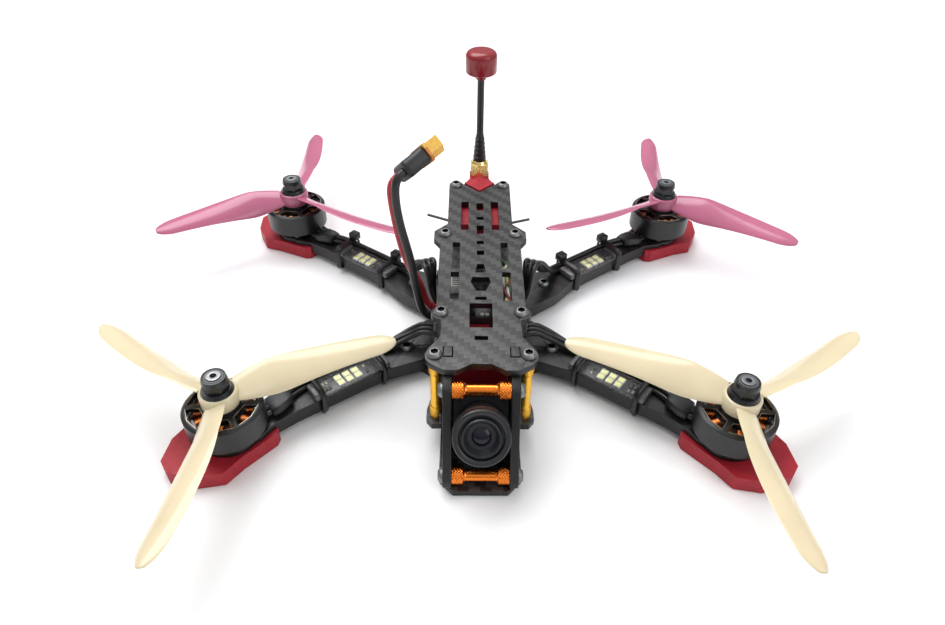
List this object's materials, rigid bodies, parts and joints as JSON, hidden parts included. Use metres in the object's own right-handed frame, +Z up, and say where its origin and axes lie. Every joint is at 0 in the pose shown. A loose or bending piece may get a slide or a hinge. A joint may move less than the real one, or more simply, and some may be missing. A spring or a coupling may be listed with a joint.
{
  "type": "fpv racing drone",
  "caption": "Carbon-framed racing quadcopter with brushless motors, three-blade propellers, a tilting nose camera, a stiff antenna mast and a loose battery lead.",
  "frame": {"origin": "on the underside of the bottom plate, midway between the four motor axes", "axes": "+Z up, -Y towards the nose and camera, +X towards the motor pair on the right of a viewer who faces the nose"},
  "size_m": [0.2921, 0.2636, 0.098],
  "materials": {
    "carbon": "satin woven carbon fibre laminate",
    "orange_anodised": "orange anodised, satin",
    "gold_anodised": "gold anodised, satin",
    "black_anodised": "black anodised, satin",
    "screw_steel": "bright zinc",
    "shaft_steel": "ground",
    "bearing_steel": "ground",
    "core_steel": "dark coated laminations",
    "copper": "enamelled copper wire",
    "red_tpu": "printed, matte",
    "cream_polycarbonate": "glossy, slightly clear",
    "pink_polycarbonate": "glossy, slightly clear",
    "black_nut": "black oxide with a nylon ring",
    "black_silicone": "semi-gloss",
    "red_silicone": "semi-gloss",
    "black_nylon": "satin",
    "amber_nylon": "satin",
    "light_board": "board under clear sleeve",
    "black_board": "solder mask",
    "black_module": "satin",
    "lens_black": "satin barrel with a coated glass",
    "gold_brass": "gold plated",
    "red_radome": "clear red"
  },
  "bodies": {
    "frame": {"bottom_plate": "carbon", "mid_plate": "carbon", "top_plate": "carbon", "arm_front_left": "carbon", "arm_front_right": "carbon", "arm_rear_left": "carbon", "arm_rear_right": "carbon", "camera_plate_left": "carbon", "camera_plate_right": "carbon", "camera_spacers": "orange_anodised", "front_standoffs": "gold_anodised", "body_standoffs": "black_anodised", "frame_screws": "screw_steel", "motor_guard_front_left": "red_tpu", "motor_guard_front_right": "red_tpu", "motor_guard_rear_left": "red_tpu", "motor_guard_rear_right": "red_tpu", "motor_base_front_left": "black_anodised", "motor_base_front_right": "black_anodised", "motor_base_rear_left": "black_anodised", "motor_base_rear_right": "black_anodised", "stator_cores": "core_steel", "windings": "copper", "motor_bearings": "bearing_steel", "motor_wires": "black_silicone", "led_boards": "light_board", "cable_ties": "black_nylon", "esc_board": "black_board", "flight_controller": "black_board", "stack_hardware": "screw_steel", "video_transmitter": "black_module", "vtx_bed": "red_tpu", "receiver": "black_board", "antenna_mount": "red_tpu", "antenna_connector": "gold_brass", "antenna_stem": "black_nylon", "antenna_dome": "red_radome", "receiver_antennas": "black_silicone", "battery_wire_red": "red_silicone", "battery_wire_black": "black_silicone", "battery_boot": "black_nylon", "battery_plug": "amber_nylon"},
    "rotor_front_left": {"bell_front_left": "black_anodised", "shaft_front_left": "shaft_steel", "propeller_front_left": "cream_polycarbonate", "prop_nut_front_left": "black_nut"},
    "rotor_front_right": {"bell_front_right": "black_anodised", "shaft_front_right": "shaft_steel", "propeller_front_right": "cream_polycarbonate", "prop_nut_front_right": "black_nut"},
    "rotor_rear_left": {"bell_rear_left": "black_anodised", "shaft_rear_left": "shaft_steel", "propeller_rear_left": "pink_polycarbonate", "prop_nut_rear_left": "black_nut"},
    "rotor_rear_right": {"bell_rear_right": "black_anodised", "shaft_rear_right": "shaft_steel", "propeller_rear_right": "pink_polycarbonate", "prop_nut_rear_right": "black_nut"},
    "camera": {"camera_case": "black_module", "camera_lens": "lens_black"}
  },
  "joints": [
    {"name": "spin_front_left", "type": "hinge", "parent": "frame", "child": "rotor_front_left", "pos_m": [-0.0902, -0.0668, 0.012], "axis": [0, 0, 1], "continuous": true},
    {"name": "spin_front_right", "type": "hinge", "parent": "frame", "child": "rotor_front_right", "pos_m": [0.0902, -0.0668, 0.012], "axis": [0, 0, -1], "continuous": true},
    {"name": "spin_rear_left", "type": "hinge", "parent": "frame", "child": "rotor_rear_left", "pos_m": [-0.0902, 0.0668, 0.012], "axis": [0, 0, -1], "continuous": true},
    {"name": "spin_rear_right", "type": "hinge", "parent": "frame", "child": "rotor_rear_right", "pos_m": [0.0902, 0.0668, 0.012], "axis": [0, 0, 1], "continuous": true},
    {"name": "camera_tilt", "type": "hinge", "parent": "frame", "child": "camera", "pos_m": [0, -0.068, 0.0175], "axis": [-1, 0, 0], "range_deg": [-23, 15]}
  ]
}
